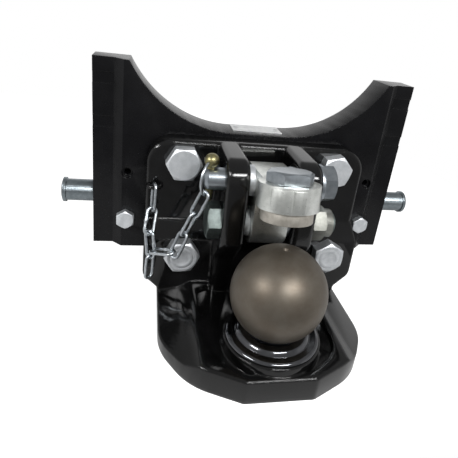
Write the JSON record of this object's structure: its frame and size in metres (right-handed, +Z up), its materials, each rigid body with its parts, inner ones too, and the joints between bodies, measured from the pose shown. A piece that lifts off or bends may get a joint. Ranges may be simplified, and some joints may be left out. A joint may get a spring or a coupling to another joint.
{
  "type": "tractor ball hitch",
  "caption": "Slide-in carrier plate with a bolted ball bracket, tow ball, hinged hold-down arm and a locking pin on a chain.",
  "frame": {"origin": "centre of the tow ball", "axes": "+X to the right seen from the ball, along the plate's length; +Y from the ball towards the carrier plate; +Z up"},
  "size_m": [0.382, 0.2131, 0.2276],
  "materials": {
    "black_plate": "satin black",
    "black_casting": "gloss black over cast skin",
    "ball_steel": "matt bronze-brown phosphate",
    "zinc_steel": "zinc plated",
    "zinc_cast": "zinc plated casting",
    "yellow_zinc": "yellow zinc plated",
    "bare_aluminium": "brushed",
    "pad_steel": "dull brown-grey"
  },
  "bodies": {
    "frame": {"carrier_plate": "black_plate", "nameplate": "bare_aluminium", "nameplate_rivet_left": "bare_aluminium", "nameplate_rivet_right": "bare_aluminium", "ball_bracket": "black_casting", "tow_ball": "ball_steel", "ball_nut": "zinc_steel", "flange_bolt_upper_left": "zinc_steel", "flange_bolt_upper_right": "zinc_steel", "flange_bolt_lower_left": "zinc_steel", "flange_bolt_lower_right": "zinc_steel", "side_bolt_left": "zinc_steel", "side_bolt_right": "zinc_steel", "pivot_bolt": "zinc_steel", "pivot_nut": "zinc_steel", "locking_pin": "zinc_steel", "locking_washer": "zinc_steel", "lynch_pin": "yellow_zinc", "lynch_ring": "zinc_steel", "hold_down_arm": "zinc_cast", "bush_upper_left": "zinc_steel", "bush_upper_right": "zinc_steel", "bush_lower_left": "zinc_steel", "bush_lower_right": "zinc_steel", "hold_down_screw": "zinc_steel", "hold_down_pad": "pad_steel", "chain_eye": "zinc_steel"},
    "side_pin_left_body": {"side_pin_left": "zinc_steel"},
    "side_pin_right_body": {"side_pin_right": "zinc_steel"},
    "chain": {"chain_link_1": "zinc_steel", "chain_link_2": "zinc_steel", "chain_link_3": "zinc_steel", "chain_link_4": "zinc_steel", "chain_link_5": "zinc_steel", "chain_link_6": "zinc_steel", "chain_link_7": "zinc_steel", "chain_link_8": "zinc_steel"}
  },
  "joints": [
    {"name": "side_pin_left_slide", "type": "slide", "parent": "frame", "child": "side_pin_left_body", "axis": [-1, 0, 0], "range_m": [0, 0.04]},
    {"name": "side_pin_right_slide", "type": "slide", "parent": "frame", "child": "side_pin_right_body", "axis": [1, 0, 0], "range_m": [0, 0.04]},
    {"name": "chain_swing", "type": "hinge", "parent": "frame", "child": "chain", "pos_m": [-0.1009, 0.1024, 0.0481], "axis": [0.7297, -0.6636, 0.1648], "range_deg": [-8, 0]}
  ]
}
